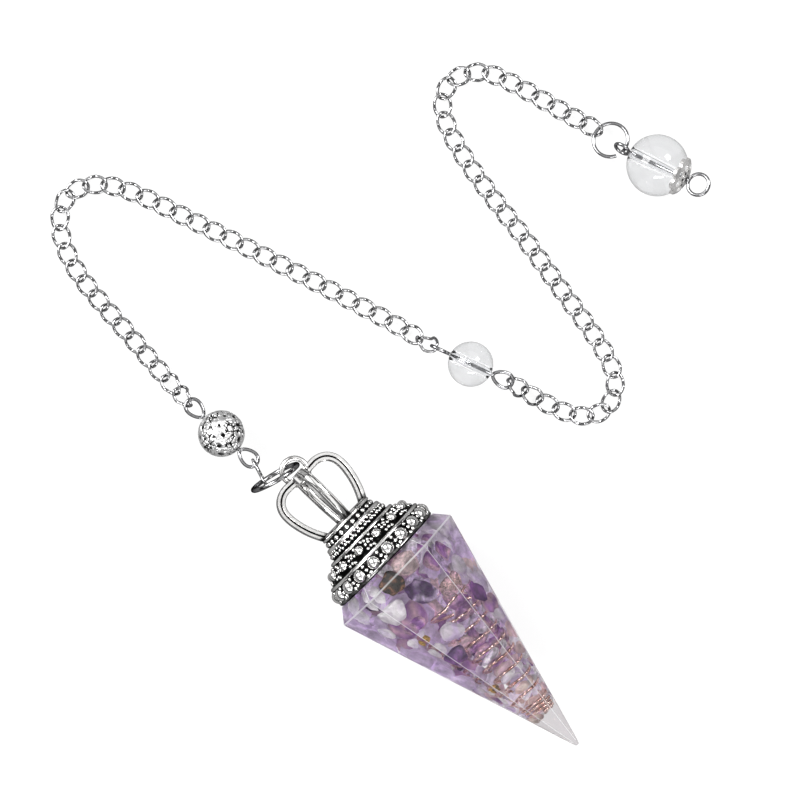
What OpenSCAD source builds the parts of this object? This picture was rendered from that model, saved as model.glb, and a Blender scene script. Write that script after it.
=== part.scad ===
// Dowsing pendulum: a six-sided clear point with stone chips and a copper
// spiral cast in it, a beaded silver crown cap, a curb chain with two small
// beads in it and a larger clear bead at the far end.
// Lengths are in mm. It lies on the plane z = 0 as a pendulum laid on a table
// does: the point rests on its lower shoulder edge and on the rim of the cap,
// and the chain, rings and beads lie beside it.

/* [Resin point] */
// width across the corners at the shoulder
point_w = 19.5; // [17:0.1:23]
// length from the shoulder to the tip
point_len = 31.7; // [28:0.1:38]
// width left across the corners at the blunt tip
tip_w = 0.6; // [0.3:0.1:1.5]
// height of the bevel between shoulder and cap
bevel_h = 1.75; // [1:0.05:3]
// width across the corners at the top of the bevel
bevel_w = 16.6; // [15:0.1:18]
// height of the plug that is glued up into the cap
plug_h = 1.9; // [1:0.1:2.1]
// how far the plug stays inside the big balls of the rim
plug_inset = 0.29; // [0.2:0.01:1.2]
// free space left around what is cast in the point
cast_gap = 0.05; // [0.03:0.01:0.1]
// direction of the point on the table, in degrees below the +X axis
point_turn = 44; // [30:1:60]

/* [Copper spiral] */
// thickness of the copper wire
coil_wire = 0.4; // [0.3:0.05:0.5]
// rise of each open turn
coil_pitch = 1.85; // [1.6:0.05:2]
// rise of each tight turn at the tip end
coil_tight = 0.5; // [0.5:0.05:0.6]
// number of open turns
coil_turns = 9; // [7:1:9]
// width that the spiral's turns are shares of
coil_w = 5; // [4:0.1:5.4]
// how much the strands lean, so that those in front lie square to the point
coil_lean = 0.3; // [0:0.02:0.34]

/* [Crown cap] */
// how far the big balls of the rim stay inside the point's flats
rim_inset = 0.014; // [0.01:0.01:0.4]
// width of the big balls
rim_ball = 1.84; // [1.4:0.02:1.9]
// number of big balls round the rim
rim_balls = 19; // [15:1:20]
// width of the middle balls
mid_ball = 1.3; // [0.9:0.1:1.4]
// number of middle balls
mid_balls = 13; // [9:1:14]
// number of grains in each of the two upper rows
small_grains = 24; // [18:1:26]
// height of the cap's body, arches not counted
cap_h = 7.7; // [7:0.1:9]
// free space between the cap and the point
cap_gap = 0.1; // [0.05:0.01:0.2]
// thickness of the four arches
arch_t = 1.15; // [0.9:0.05:1.4]
// largest width over the arches
arch_w = 10.9; // [9:0.1:12]
// height from the cap's bottom to the top of the arches
arch_h = 15.7; // [14:0.1:17]
// turn of the arches about the cap's axis
arch_turn = 10; // [0:1:20]

/* [Eye and crown ring] */
// outer width of the eye
eye_w = 3.9; // [3.4:0.1:4.4]
// thickness of the eye's wire
eye_wire = 0.68; // [0.5:0.02:0.8]
// outer width of the ring through the eye
crown_ring_w = 7.1; // [6.6:0.1:8]
// thickness of that ring's wire
crown_ring_wire = 0.6; // [0.4:0.05:0.7]

/* [Beads] */
// width of the pitted silver bead
silver_bead_w = 6; // [5:0.1:7]
// width of the small clear bead
clear_bead_w = 5.8; // [5:0.1:7]
// width of the clear bead at the far end
end_bead_w = 7.9; // [7:0.1:9]
// width of the drilled holes
drill_w = 1.1; // [0.9:0.05:1.4]
// thickness of the bead wires
bead_wire = 0.45; // [0.35:0.05:0.55]
// outer width of the loops beside the beads
loop_w = 2.35; // [2:0.05:2.8]
// outer width of the round loop at the far end
end_loop_w = 3.2; // [2.8:0.1:4]
// outer width of the petalled bead cap
bead_cap_w = 5.1; // [4.6:0.1:5.6]
// thickness of the petalled bead cap
bead_cap_t = 0.32; // [0.25:0.01:0.4]

/* [Chain] */
// thickness of the chain wire
link_wire = 0.38; // [0.3:0.02:0.42]
// spacing of the chain links
link_pitch = 2.38; // [2.1:0.02:2.8]
// outer width of a link
link_w = 2.5; // [2.3:0.05:2.9]
// free space kept between linked wires
play = 0.26; // [0.24:0.01:0.3]

/* [End ring] */
// outer width of the open ring
end_ring_w = 4.9; // [4.4:0.1:5.6]
// thickness of its wire
end_ring_wire = 0.45; // [0.35:0.05:0.55]
// opening of the ring, in degrees
end_ring_gap = 26; // [10:2:40]

/* [Hidden] */
$fn = 64;

// sides of a meshed wire, and how many straight runs make a meshed loop
wire_sides = 6;
chain_sides = 5;
loop_runs = 12;

// the middle of everything, so that the piece stands centred on the origin
middle = [-2.79, -0.14];

// where the parts lie, before centring
point_at = [-0.35, -21.5];
silver_bead_at = [-22.9, -4.3];
clear_bead_at = [9.05, 4.6];
end_bead_at = [32.9, 30];
end_ring_at = [27.1, 33.45];

// height of the point's axis: half its width across the flats
axis_h = point_w / 2 * cos(30);
// radius over the big balls of the rim
cap_r = axis_h - rim_inset;
cap_base = bevel_h + 0.05;
plug_r = cap_r - rim_ball - plug_inset;
cavity_r = plug_r + cap_gap;

// small helpers

function unit(v) = v / norm(v);
function mix(a, b, t) = a * (1 - t) + b * t;
// direction from a turn about +Z and a rise above the table
function heading(az, el) = [cos(az) * cos(el), sin(az) * cos(el), sin(el)];
// the direction nearest to up that is square to d, rolled about d
function up_of(d, roll) =
    let (u = unit([0, 0, 1] - d[2] * d), s = cross(u, d))
    u * cos(roll) + s * sin(roll);
// frame with x along d and z near up, at point o
function frame(o, d, roll) =
    let (z = up_of(d, roll), y = cross(z, d))
    [[d[0], y[0], z[0], o[0]], [d[1], y[1], z[1], o[1]],
     [d[2], y[2], z[2], o[2]], [0, 0, 0, 1]];

// a meshed wire of radius r along the points c
module wire(c, r, k, closed, ref = [0, 0, 1], flat = 1) {
    n = len(c);
    pts = [for (i = [0 : n - 1])
        let (a = closed ? c[(i + n - 1) % n] : c[max(i - 1, 0)],
             b = closed ? c[(i + 1) % n] : c[min(i + 1, n - 1)],
             t = unit(b - a),
             w = unit(ref - (ref * t) * t),
             u = cross(w, t))
        for (j = [0 : k - 1])
            c[i] + r * cos(360 * j / k) * flat * u
                 + r * sin(360 * j / k) * w];
    last = closed ? n - 1 : n - 2;
    sides = [for (i = [0 : last]) for (j = [0 : k - 1])
        let (i2 = (i + 1) % n, j2 = (j + 1) % k)
        each [[i * k + j, i2 * k + j, i2 * k + j2],
              [i * k + j, i2 * k + j2, i * k + j2]]];
    ends = closed ? [] : [[for (j = [0 : k - 1]) j],
                          [for (j = [k - 1 : -1 : 0]) (n - 1) * k + j]];
    polyhedron(points = pts, faces = concat(sides, ends));
}

// a stack of rings of k points each, closed at both ends
module stack(rings) {
    k = len(rings[0]);
    n = len(rings);
    pts = [for (q = rings) for (p = q) p];
    sides = [for (i = [0 : n - 2]) for (j = [0 : k - 1])
        let (j2 = (j + 1) % k)
        each [[i * k + j, (i + 1) * k + j, (i + 1) * k + j2],
              [i * k + j, (i + 1) * k + j2, i * k + j2]]];
    ends = [[for (j = [0 : k - 1]) j],
            [for (j = [k - 1 : -1 : 0]) (n - 1) * k + j]];
    polyhedron(points = pts, faces = concat(sides, ends));
}

// a round ring in the local xy plane
module ring(mean_r, wire_r) {
    rotate_extrude() translate([mean_r, 0]) circle(r = wire_r);
}

// everything is placed from the middle
module centred() {
    translate([-middle[0], -middle[1], 0]) children();
}

// local z runs from the shoulder to the cap, local x is up
module on_point() {
    centred() translate([point_at[0], point_at[1], axis_h])
        rotate([0, 0, -point_turn]) rotate([0, -90, 0]) children();
}
function from_point(p) =
    let (x = -p[2], y = p[1])
    [point_at[0] + x * cos(-point_turn) - y * sin(-point_turn),
     point_at[1] + x * sin(-point_turn) + y * cos(-point_turn),
     axis_h + p[0]];

// the resin point

function hexagon(w, z) =
    [for (j = [0 : 5]) [w / 2 * cos(60 * j + 30), w / 2 * sin(60 * j + 30), z]];

module resin_body() {
    stack([hexagon(tip_w, -point_len), hexagon(point_w, 0),
           hexagon(bevel_w, bevel_h)]);
    translate([0, 0, bevel_h - 0.5]) cylinder(r = plug_r, h = plug_h + 0.5);
}

module resin_point() {
    on_point() color([0.80, 0.74, 0.88, 0.5])
        difference() {
            resin_body();
            spiral(cast_gap);
            chips(amethyst, cast_gap);
            chips(pale, cast_gap);
            chips(brown, cast_gap);
        }
}

// the copper spiral

// height, width and sideways shift of the spiral after u turns
tight_turns = 3;
coil_foot = 25.5 / 31.7 * point_len;
function coil_z(u) = -coil_foot + coil_tight * min(u, tight_turns)
    + coil_pitch * max(u - tight_turns, 0);
function coil_r(u) = coil_w * lookup(u, [[0, 0.2], [3, 0.3], [7, 0.42], [12, 0.46]]);
function coil_y(u) = coil_w * lookup(u, [[0, 0.01], [3, 0.03], [12, 0.14]]);
function coil_point(a) = let (u = a / 360, across = coil_r(u) * sin(a))
    [coil_r(u) * cos(a), coil_y(u) + across, coil_z(u) - coil_lean * across];
coil_end = 360 * (tight_turns + coil_turns);
coil_path = concat([for (a = [0 : 40 : coil_end]) coil_point(a)],
    [coil_point(coil_end) + coil_w * [0.02, 0.24, 0.04],
     coil_point(coil_end) + coil_w * [-0.1, 0.48, 0.06]]);

module spiral(grow) {
    wire(coil_path, coil_wire / 2 + grow, 5, false);
}

module copper_coil() {
    on_point() color([0.72, 0.42, 0.30]) spiral(0);
}

// stone chips: [up, across, along, width, length, thickness, turn, seed]
amethyst = [
    [4.0, 0.5, -3.4, 3.4, 4.6, 2.2, 20, 1],
    [3.2, -2.2, -12.4, 2.4, 2.8, 1.6, 60, 2],
    [5.4, -3.6, 1.0, 1.4, 1.6, 1.0, 10, 3],
    [3.6, -2.9, -6.0, 1.8, 2.4, 1.6, 75, 4],
    [0.2, 1.0, -17.4, 1.6, 2.0, 1.4, 30, 5],
    [2.0, 4.4, -2.0, 3.0, 3.4, 2.6, 50, 6],
    [-3.6, -1.5, -6.5, 3.4, 3.8, 2.2, 35, 7],
    [-3.8, 3.0, -3.0, 3.2, 3.6, 2.4, 80, 8]];
pale = [
    [4.6, -3.6, -2.9, 3.0, 3.4, 1.8, 40, 11],
    [4.4, -3.7, -0.3, 1.6, 2.2, 1.2, 15, 12],
    [1.9, -5.9, -4.2, 2.0, 2.8, 1.6, 30, 13],
    [2.6, -4.4, -7.6, 1.6, 3.0, 1.4, 100, 14],
    [3.6, -0.6, -9.9, 2.6, 3.4, 1.4, 65, 15],
    [2.6, -3.2, -10.2, 1.4, 2.2, 1.2, 20, 16],
    [0.4, -5.6, -0.4, 2.6, 3.4, 2.2, 70, 17],
    [-3.4, -4.2, -2.6, 3.0, 3.4, 2.2, 15, 18]];
brown = [
    [6.35, -1.45, -0.5, 3.0, 3.2, 1.5, 40, 21],
    [3.6, -3.5, -8.3, 1.0, 1.2, 0.9, 10, 22],
    [3.7, 3.2, -5.7, 2.6, 2.8, 1.8, 140, 23],
    [1.5, -1.9, -19.0, 0.9, 1.3, 0.7, 20, 24],
    [-0.2, -0.1, -20.2, 1.3, 1.6, 1.1, 45, 25]];

// a five-sided chip with a broad waist
module chip(w, l, t, seed, grow) {
    function wobble(i, j) = 1 + 0.16 * sin(seed * 97 + i * 151 + j * 113);
    function level(i, s, x) =
        [for (j = [0 : 4])
            let (a = 72 * j + 9 * sin(seed * 53 + i * 77 + j * 61))
            [x, (s * w / 2 * wobble(i, j) + grow) * cos(a),
                (s * l / 2 * wobble(i, j + 7) + grow) * sin(a)]];
    stack([level(0, 0.6, -t / 2 - grow), level(1, 1, -0.05 * t),
           level(2, 0.62, t / 2 + grow)]);
}

module chips(list, grow) {
    for (c = list)
        translate([c[0], c[1], c[2]]) rotate([c[6], 0, 0])
            chip(c[3], c[4], c[5], c[7], grow);
}

module amethyst_chips() {
    on_point() color([0.42, 0.26, 0.55]) chips(amethyst, 0);
}

module pale_chips() {
    on_point() color([0.85, 0.83, 0.87]) chips(pale, 0);
}

module brown_chips() {
    on_point() color([0.45, 0.30, 0.18]) chips(brown, 0);
}

// the crown cap

// heights of the ridges above the cap's bottom
ridge_low = cap_h * 0.295;
ridge_mid = cap_h * 0.58;
ridge_high = cap_h * 0.77;
ridge_top = cap_h * 0.945;
// radii of the ridges and of the steps above them
ridge_mid_r = cap_r * 0.617;
step_mid_r = cap_r * 0.5635;
ridge_high_r = cap_r * 0.51;
step_high_r = cap_r * 0.4686;
ridge_top_r = cap_r * 0.445;
ball_seat = cap_r - rim_ball / 2;

module cap_profile() {
    difference() {
        union() {
            polygon([[0, 0], [cap_r - 0.45, 0], [ball_seat, ridge_low],
                     [ball_seat - 0.25, ridge_low + 0.2],
                     [ridge_mid_r, ridge_mid], [step_mid_r, ridge_mid + 0.3],
                     [ridge_high_r, ridge_high], [step_high_r, ridge_high + 0.3],
                     [ridge_top_r, ridge_top], [ridge_top_r, cap_h], [0, cap_h]]);
            translate([cap_r - 0.52, 0.28]) circle(r = 0.28);
            translate([ball_seat - 0.02, ridge_low]) circle(r = 0.26);
            translate([ridge_mid_r + 0.02, ridge_mid]) circle(r = 0.25);
            translate([ridge_high_r - 0.05, ridge_high]) circle(r = 0.33);
            translate([ridge_top_r + 0.07, ridge_top]) circle(r = 0.2);
        }
        polygon([[-1, -1], [cavity_r, -1], [cavity_r, plug_h + 0.2],
                 [step_high_r, ridge_mid - 0.2], [0, ridge_mid - 0.2], [-1, -1]]);
        translate([-2, -2]) square([2, cap_h + 4]);
    }
}

// grains of width w on a row: count, distance from the axis, height, start
module grains(w, count, r, z, start = 0) {
    for (i = [0 : count - 1])
        rotate([0, 0, start + 360 * i / count]) translate([r, 0, z])
            sphere(r = w / 2);
}

arch_r = arch_w / 2 - arch_t / 2;
arch_foot = ridge_top_r - 0.6;
// the arch leans out from the cap, stands up and turns in to the collar
arch_path = [
    [arch_foot, 0, cap_h - 0.5],
    [mix(arch_foot, arch_r, 0.38), 0, cap_h + 0.7],
    [mix(arch_foot, arch_r, 0.67), 0, cap_h + 1.9],
    [mix(arch_foot, arch_r, 0.88), 0, cap_h + 3.2],
    [arch_r, 0, cap_h + 4.6],
    [arch_r - 0.08, 0, arch_h - 2.2],
    [arch_r - 0.5, 0, arch_h - 1.3],
    [arch_r - 1.2, 0, arch_h - 0.7],
    [arch_r - 2.1, 0, arch_h - 0.4],
    [arch_r - 3.1, 0, arch_h - 0.4],
    [0.95, 0, arch_h - 0.45]];

// distances along the point's axis, from the shoulder
collar_z = cap_base + arch_h - 0.55;
collar_r = 1.4;
eye_z = cap_base + arch_h + eye_w / 2 - 1.4;

// the arches with the collar and the eye on them
module arches() {
    translate([0, 0, cap_base])
        for (i = [0 : 3]) rotate([0, 0, arch_turn + 90 * i])
            wire(arch_path, arch_t / 2, 6, false, [0, 1, 0]);
    translate([0, 0, collar_z - 0.65]) cylinder(r = collar_r, h = 1.3);
    translate([0, 0, eye_z]) rotate([0, 90, 0])
        ring(eye_w / 2 - eye_wire / 2, eye_wire / 2);
}

module crown_cap() {
    on_point() color([0.62, 0.62, 0.60])
        union() {
            translate([0, 0, cap_base]) {
                rotate_extrude() cap_profile();
                grains(rim_ball, rim_balls, ball_seat, 1.2, 181.5);
                grains(0.55, rim_balls, cap_r - 0.5, 0.55, 181.5 + 180 / rim_balls);
                grains(mid_ball, mid_balls, mix(ball_seat, ridge_mid_r, 0.494),
                       mix(ridge_low, ridge_mid, 0.53), 182);
                grains(0.5, mid_balls, mix(ball_seat, ridge_mid_r, 0.265),
                       mix(ridge_low, ridge_mid, 0.3), 182 + 180 / mid_balls);
                grains(0.45, mid_balls, mix(ball_seat, ridge_mid_r, 0.602),
                       mix(ridge_low, ridge_mid, 0.68), 182 + 205 / mid_balls);
                grains(0.5, small_grains, mix(ridge_mid_r, ridge_high_r, 0.644),
                       mix(ridge_mid, ridge_high, 0.5), 4);
                grains(0.75, small_grains, mix(step_high_r, ridge_top_r, 0.757),
                       mix(ridge_high, ridge_top, 0.5), arch_turn);
            }
            arches();
        }
}

// the ring through the eye and the small link to the silver bead

crown_ring_r = crown_ring_w / 2 - crown_ring_wire / 2;
eye_at = from_point([0, 0, eye_z]);
// direction of the ring on the table, and how far its foot leans back
ring_turn = 30;
ring_lean = 8;
ring_dir = heading(ring_turn, 0);
ring_side = heading(ring_turn + 90, 0);
ring_up = [0, 0, 1] * cos(ring_lean) - ring_side * sin(ring_lean);
// the eye's wire stays inside the ring, near its top; its place there in
// shares of the room it has: along the ring, across it and upwards
ring_reach = crown_ring_r - crown_ring_wire / 2 - eye_wire / 2 - play;
ring_share = [0.4255, 0.2128, 0.8949];
crown_ring_at = eye_at
    - ring_dir * (eye_w / 2 - eye_wire / 2 + ring_share[0] * ring_reach)
    + ring_side * ring_share[1] * ring_reach
    - [0, 0, ring_share[2] * ring_reach];
function on_ring(a) = crown_ring_at
    + crown_ring_r * (cos(a) * ring_dir + sin(a) * ring_up);

module crown_ring() {
    centred() color([0.66, 0.66, 0.66])
        multmatrix([[ring_dir[0], ring_up[0], cross(ring_dir, ring_up)[0], crown_ring_at[0]],
                    [ring_dir[1], ring_up[1], cross(ring_dir, ring_up)[1], crown_ring_at[1]],
                    [ring_dir[2], ring_up[2], cross(ring_dir, ring_up)[2], crown_ring_at[2]],
                    [0, 0, 0, 1]])
            ring(crown_ring_r, crown_ring_wire / 2);
}

// bead wires

// an egg-shaped loop that starts at x = 0 and is l long and w wide, outside
function egg(l, w, k) = let (a = l / 2 - bead_wire / 2, b = w / 2 - bead_wire / 2)
    [for (i = [0 : loop_runs - 1]) let (t = 360 * i / loop_runs)
        [a + bead_wire / 2 + a * cos(t), b * sin(t) * (1 + k * cos(t)), 0]];

// a loop: where it starts, its direction, roll, length, width and egg shape
module loop(at, dir, roll, l, w, k) {
    multmatrix(frame(at, dir, roll))
        wire(egg(l, w, k), bead_wire / 2, wire_sides, true);
}
// middle of the wire at a loop's far end
function loop_far(at, dir, l) = at + dir * (l - bead_wire / 2);

// a straight round wire from a to b
module rod(a, b, r) {
    multmatrix(frame(a, unit(b - a), 0)) rotate([0, 90, 0])
        cylinder(r = r, h = norm(b - a));
}

// space between a bead and the loops beside it
loop_gap = 0.08;

// silver bead: turn and rise of its wire, loops turned a little from it
silver_mid = [silver_bead_at[0], silver_bead_at[1], silver_bead_w / 2];
silver_dir = heading(-42, 10);
silver_out = heading(-39, 12);
silver_in = heading(135, -6);
silver_start_out = silver_mid + silver_dir * (silver_bead_w / 2 + loop_gap);
silver_start_in = silver_mid - silver_dir * (silver_bead_w / 2 + loop_gap);
silver_loop_l = 3.25;
silver_roll_out = 0;
silver_roll_in = 0;
silver_far_out = loop_far(silver_start_out, silver_out, silver_loop_l);
silver_far_in = loop_far(silver_start_in, silver_in, silver_loop_l);

module silver_bead_wire() {
    centred() color([0.66, 0.66, 0.66]) {
        loop(silver_start_out, silver_out, silver_roll_out, silver_loop_l, loop_w, 0.25);
        loop(silver_start_in, silver_in, silver_roll_in, silver_loop_l, loop_w, 0.25);
        rod(silver_start_in - silver_dir * 0.25,
            silver_start_out + silver_dir * 0.25, bead_wire / 2);
    }
}

// clear bead
clear_mid = [clear_bead_at[0], clear_bead_at[1], clear_bead_w / 2];
clear_dir = heading(-25.5, -4);
clear_out = heading(-24, -10);
clear_in = heading(155, -12);
clear_start_out = clear_mid + clear_dir * (clear_bead_w / 2 + loop_gap);
clear_start_in = clear_mid - clear_dir * (clear_bead_w / 2 + loop_gap);
clear_loop_l = 3.2;
clear_roll_out = 0;
clear_roll_in = 90;
clear_far_out = loop_far(clear_start_out, clear_out, clear_loop_l);
clear_far_in = loop_far(clear_start_in, clear_in, clear_loop_l - 0.4);

module clear_bead_wire() {
    centred() color([0.66, 0.66, 0.66]) {
        loop(clear_start_out, clear_out, clear_roll_out, clear_loop_l, loop_w, 0.25);
        loop(clear_start_in, clear_in, clear_roll_in, clear_loop_l - 0.4, loop_w, 0.25);
        rod(clear_start_in - clear_dir * 0.25,
            clear_start_out + clear_dir * 0.25, bead_wire / 2);
    }
}

// end bead: its wire rises towards the round loop
end_mid = [end_bead_at[0], end_bead_at[1], end_bead_w / 2];
end_dir = heading(-27.3, 20);
end_start_out = end_mid + end_dir * (end_bead_w / 2 + 0.08 + bead_cap_t + loop_gap);
end_start_in = end_mid - end_dir * (end_bead_w / 2 + loop_gap);
inner_loop_l = 2.4;
end_roll_in = 68;

module end_bead_wire() {
    centred() color([0.66, 0.66, 0.66]) {
        loop(end_start_out, end_dir, 0, end_loop_w, end_loop_w, 0);
        loop(end_start_in, -end_dir, end_roll_in, inner_loop_l, loop_w, 0);
        rod(end_start_in - end_dir * 0.25,
            end_start_out + end_dir * 0.25, bead_wire / 2);
    }
}

// beads

module drilled(mid, dir, w, hole) {
    multmatrix(frame(mid, dir, 0)) rotate([0, 90, 0])
        difference() {
            sphere(r = w / 2);
            cylinder(r = hole / 2, h = w + 2, center = true);
        }
}

// shallow round pits, spread evenly over the silver bead
pits = 54;
module silver_bead() {
    r = silver_bead_w / 2;
    centred() color([0.55, 0.55, 0.55])
        multmatrix(frame(silver_mid, silver_dir, 0)) rotate([0, 90, 0])
            difference() {
                sphere(r = r);
                cylinder(r = drill_w / 2, h = silver_bead_w + 2, center = true);
                for (i = [0 : pits - 1])
                    let (h = 0.88 * (1 - (2 * i + 1) / pits),
                         s = sqrt(1 - h * h), a = 137.5 * i,
                         q = 0.36 + 0.09 * sin(i * 71),
                         d = r + q * (0.5 + 0.17 * sin(i * 113)))
                    translate([d * s * cos(a), d * s * sin(a), d * h])
                        sphere(r = q);
            }
}

module clear_bead() {
    centred() color([0.92, 0.92, 0.95, 0.4])
        drilled(clear_mid, clear_dir, clear_bead_w, drill_w);
}

module end_bead() {
    centred() color([0.92, 0.92, 0.95, 0.4])
        drilled(end_mid, end_dir, end_bead_w, drill_w + 0.1);
}

// the petalled cap over the end of the bead
petals = 8;
module bead_cap() {
    ri = end_bead_w / 2 + 0.08;
    ro = ri + bead_cap_t;
    pr = 0.27 * bead_cap_w / 2 / 0.7;
    centred() color([0.60, 0.60, 0.58])
        multmatrix(frame(end_mid, end_dir, 0)) rotate([0, 90, 0])
            difference() {
                intersection() {
                    difference() {
                        sphere(r = ro);
                        sphere(r = ri);
                    }
                    union() {
                        cylinder(r = bead_cap_w / 2 - pr - 0.1, h = ro + 1);
                        for (i = [0 : petals - 1]) rotate([0, 0, 360 * i / petals])
                            translate([bead_cap_w / 2 - pr, 0, 0])
                                cylinder(r = pr, h = ro + 1);
                    }
                }
                cylinder(r = drill_w / 2, h = ro + 2);
                for (i = [0 : petals - 1]) {
                    rotate([0, 0, 360 * i / petals])
                        translate([bead_cap_w / 2 - pr, 0, 0])
                            cylinder(r = pr * 0.45, h = ro + 2);
                    rotate([0, 0, 360 * (i + 0.5) / petals])
                        translate([bead_cap_w / 2 * 0.43, 0, 0])
                            cylinder(r = 0.19, h = ro + 2);
                }
            }
}

// the open ring: its rising side goes through the bead wire's loop

end_ring_r = end_ring_w / 2 - end_ring_wire / 2;
end_ring_tilt = 16;
end_ring_turn = -40;
end_ring_mid = [end_ring_at[0], end_ring_at[1], 1.45];
end_ring_gap_at = -18;
// where the chain hooks into it
end_hook_at = 180;
function on_end_ring(a) = let (g = heading(end_ring_turn, end_ring_tilt),
                               s = heading(end_ring_turn + 90, 0))
    end_ring_mid + end_ring_r * (cos(a) * g + sin(a) * s);

module end_ring() {
    centred() color([0.66, 0.66, 0.66])
        multmatrix(frame(end_ring_mid, heading(end_ring_turn, end_ring_tilt), 0))
            rotate([0, 0, end_ring_gap_at])
                rotate([0, 0, end_ring_gap / 2])
                    rotate_extrude(angle = 360 - end_ring_gap)
                        translate([end_ring_r, 0]) circle(r = end_ring_wire / 2);
}

// chains

// how far a link's wire stands above and below the middle of the chain
link_rise = (link_wire + play) * 0.56;
chain_z = link_rise + link_wire / 2;
// height profile of a link over its twelve corners
twist = [0.9, 1, 0.9, -0.9, -1, -0.9, 0.9, 1, 0.9, -0.9, -1, -0.9];

// a link between the joints a and b
module link(a, b, roll, twisted) {
    hl = norm(b - a) / 2 + (link_wire + play) / 2;
    hw = link_w / 2 - link_wire / 2;
    multmatrix(frame((a + b) / 2, unit(b - a), roll))
        wire([for (i = [0 : loop_runs - 1])
                let (t = 360 * (i + 0.5) / loop_runs)
                [hl * cos(t), hw * sin(t), twisted * link_rise * twist[i]]],
             link_wire / 2, chain_sides, true);
}

function curve(p, i, t) = let (n = len(p) - 1,
        a = p[max(i - 1, 0)], b = p[i], c = p[min(i + 1, n)], d = p[min(i + 2, n)])
    0.5 * (2 * b + (c - a) * t + (2 * a - 5 * b + 4 * c - d) * t * t
           + (3 * b - a - 3 * c + d) * t * t * t);
function dense(p) = concat(
    [for (i = [0 : len(p) - 2]) for (k = [0 : 9]) curve(p, i, k / 10)],
    [p[len(p) - 1]]);
function lengths(p) = [for (i = 0, s = 0; i < len(p);
    s = s + (i + 1 < len(p) ? norm(p[i + 1] - p[i]) : 0), i = i + 1) s];
// evenly spaced joints along a route
function joints(route) = let (p = dense(route), s = lengths(p),
        total = s[len(s) - 1], n = round(total / link_pitch),
        xs = [for (i = [0 : len(p) - 1]) [s[i], p[i][0]]],
        ys = [for (i = [0 : len(p) - 1]) [s[i], p[i][1]]],
        zs = [for (i = [0 : len(p) - 1]) [s[i], p[i][2]]])
    [for (i = [0 : n]) let (q = total * i / n)
        [lookup(q, xs), lookup(q, ys), max(lookup(q, zs), chain_z)]];

function on_table(list) = [for (q = list) [q[0], q[1], chain_z]];

// how far a joint lies inside a wire of width w that a link hooks into
function hook(w) = (link_wire + w) / 4 + play / 2;

module chain(j, rolls_first, rolls_last) {
    n = len(j) - 1;
    for (i = [0 : n - 1])
        let (f = i < len(rolls_first) ? rolls_first[i] :
                 n - 1 - i < len(rolls_last) ? rolls_last[n - 1 - i] : 0)
        link(j[i], j[i + 1], f, 1);
}

// the lower chain, from the silver bead round to the small clear bead
lower_mid = [[-30.6, 3.3], [-35, 8.5], [-39.6, 13.8], [-42.4, 17.8],
             [-43.9, 22.2], [-43, 26.4], [-39, 27.9], [-34, 26.6],
             [-27.5, 23.5], [-18, 18.8], [-9, 14.2], [0, 9.4]];
lower_joints = joints(concat([silver_far_in - silver_in * hook(bead_wire)],
                             on_table(lower_mid),
                             [clear_far_in - clear_in * hook(bead_wire)]));

// the upper chain, from the small clear bead round to the end ring
upper_mid = [[18.2, -0.1], [22.5, -2], [26.3, -1.6], [27.9, 2.2],
             [25.9, 7], [20.3, 14.9], [16, 20.9], [11.8, 26.3],
             [7.9, 31.9], [5.5, 37], [6.2, 40.9], [10.2, 42.4],
             [14.4, 40.9], [20.8, 37.3]];
end_hook = mix(on_end_ring(end_hook_at), end_ring_mid,
               hook(end_ring_wire) / end_ring_r);
upper_joints = joints(concat([clear_far_out - clear_out * hook(bead_wire)],
                             on_table(upper_mid), [end_hook]));

// rolls of the first and last links, the others lie flat
lower_first = [30, 15];
lower_last = [35];
upper_first = [20, 10];
upper_last = [-20, -10];

module chain_lower() {
    centred() color([0.64, 0.64, 0.64]) chain(lower_joints, lower_first, lower_last);
}

module chain_upper() {
    centred() color([0.64, 0.64, 0.64]) chain(upper_joints, upper_first, upper_last);
}

// the small link between the crown ring and the silver bead's loop
link_from = silver_far_out - silver_out * (hook(bead_wire) + 0.1);
link_on = on_ring(-120);
link_to = link_on + unit(link_on - link_from) * (hook(crown_ring_wire) + 0.07);
crown_link_roll = 90;

module crown_link() {
    centred() color([0.64, 0.64, 0.64])
        link(link_from, link_to, crown_link_roll, 0);
}

resin_point();
copper_coil();
amethyst_chips();
pale_chips();
brown_chips();
crown_cap();
crown_ring();
crown_link();
silver_bead();
silver_bead_wire();
chain_lower();
clear_bead();
clear_bead_wire();
chain_upper();
end_ring();
end_bead();
end_bead_wire();
bead_cap();
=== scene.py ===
"""Looks for the pendulum pendant.

Sizes are in mm, as in the part's source, and become metres when a mesh is made.
"""
import math

import bmesh
import bpy
import numpy as np
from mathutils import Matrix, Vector


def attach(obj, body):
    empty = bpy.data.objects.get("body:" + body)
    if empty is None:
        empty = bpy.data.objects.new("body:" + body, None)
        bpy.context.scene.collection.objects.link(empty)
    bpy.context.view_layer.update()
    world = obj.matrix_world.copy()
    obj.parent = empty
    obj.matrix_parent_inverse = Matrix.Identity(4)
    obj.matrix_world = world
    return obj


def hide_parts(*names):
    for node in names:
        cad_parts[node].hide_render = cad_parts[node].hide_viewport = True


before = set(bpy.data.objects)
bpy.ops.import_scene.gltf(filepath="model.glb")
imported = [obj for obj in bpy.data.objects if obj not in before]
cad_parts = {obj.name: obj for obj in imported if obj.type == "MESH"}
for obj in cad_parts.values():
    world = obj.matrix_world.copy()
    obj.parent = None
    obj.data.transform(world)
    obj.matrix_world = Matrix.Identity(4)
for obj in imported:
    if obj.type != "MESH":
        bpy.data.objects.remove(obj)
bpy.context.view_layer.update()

# the place in the part's source that is the frame's origin
MIDDLE = np.array([-2.79, -0.14, 0.0])
MM = 0.001

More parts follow.
